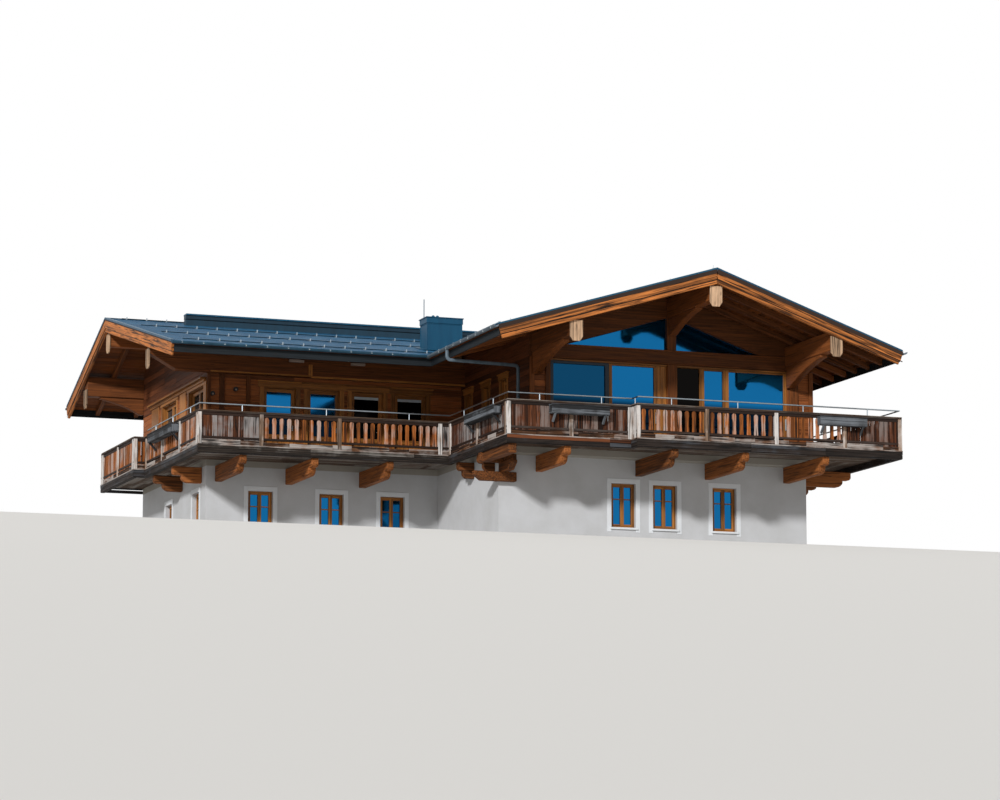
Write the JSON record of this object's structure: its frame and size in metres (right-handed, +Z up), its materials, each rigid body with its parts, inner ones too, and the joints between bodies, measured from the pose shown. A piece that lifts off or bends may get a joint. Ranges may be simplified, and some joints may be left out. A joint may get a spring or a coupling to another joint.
{
  "type": "alpine chalet",
  "caption": "Two-storey alpine chalet of L-shaped plan with a plastered base, timber upper floor, wrap-around balcony on carved consoles and a wide metal roof",
  "frame": {"origin": "ground level, below the inner corner of the two wings' upper walls", "axes": "+X along the side wing's front towards the gabled wing, +Y from the front to the back, +Z up"},
  "size_m": [21.645, 20.1549, 8.62],
  "materials": {
    "plaster": "lime-washed plaster on masonry",
    "floor_slab": "screed",
    "dark_timber": "oiled, sun-browned",
    "barge_timber": "oiled, warm orange",
    "pale_timber": "freshly cut, oiled",
    "weathered_timber": "weathered",
    "frame_timber": "varnished",
    "box_timber": "dark stained",
    "roof_metal": "matt coated sheet",
    "gutter_metal": "coated sheet",
    "rail_pipe": "brushed",
    "glazing": "clear, reflecting"
  },
  "bodies": {
    "root": {"back_wall": "dark_timber", "balcony_deck": "weathered_timber", "bargeboards": "barge_timber", "boards_back": "dark_timber", "boards_east": "dark_timber", "boards_side_front": "dark_timber", "boards_west": "dark_timber", "chimney": "roof_metal", "consoles": "dark_timber", "corbel_timbers": "dark_timber", "corner_stack": "dark_timber", "downpipe": "gutter_metal", "east_wall": "dark_timber", "eave_boards_front_wing": "barge_timber", "eave_boards_side_wing": "barge_timber", "eave_purlins": "dark_timber", "edge_beams": "weathered_timber", "facade_posts": "dark_timber", "flower_boxes": "box_timber", "gable_glass": "glazing", "gable_plates": "dark_timber", "ground_floor": "floor_slab", "ground_wall_back": "plaster", "ground_wall_east": "plaster", "ground_wall_front": "plaster", "ground_wall_side_front": "plaster", "ground_wall_side_gable": "plaster", "ground_wall_west": "plaster", "ground_windows": "glazing", "gutters_front_wing": "gutter_metal", "gutters_side_wing": "gutter_metal", "metal_back": "roof_metal", "metal_east": "roof_metal", "metal_side_front": "roof_metal", "metal_west": "roof_metal", "pipe_rail": "rail_pipe", "purlin_end_boards": "pale_timber", "rafters_front_wing": "dark_timber", "rafters_side_wing": "dark_timber", "rail_east": "weathered_timber", "rail_front": "weathered_timber", "rail_side_front": "weathered_timber", "rail_side_gable": "weathered_timber", "rail_west": "weathered_timber", "ridge_purlin": "dark_timber", "roof_upstand": "roof_metal", "side_front_wall": "dark_timber", "side_gable_wall": "dark_timber", "side_ridge_purlin": "dark_timber", "sliding_frames": "frame_timber", "sliding_glass": "glazing", "tie_beam": "dark_timber", "upper_floor": "floor_slab", "upper_frames": "frame_timber", "upper_glass": "glazing", "west_wall": "dark_timber"}
  },
  "joints": []
}
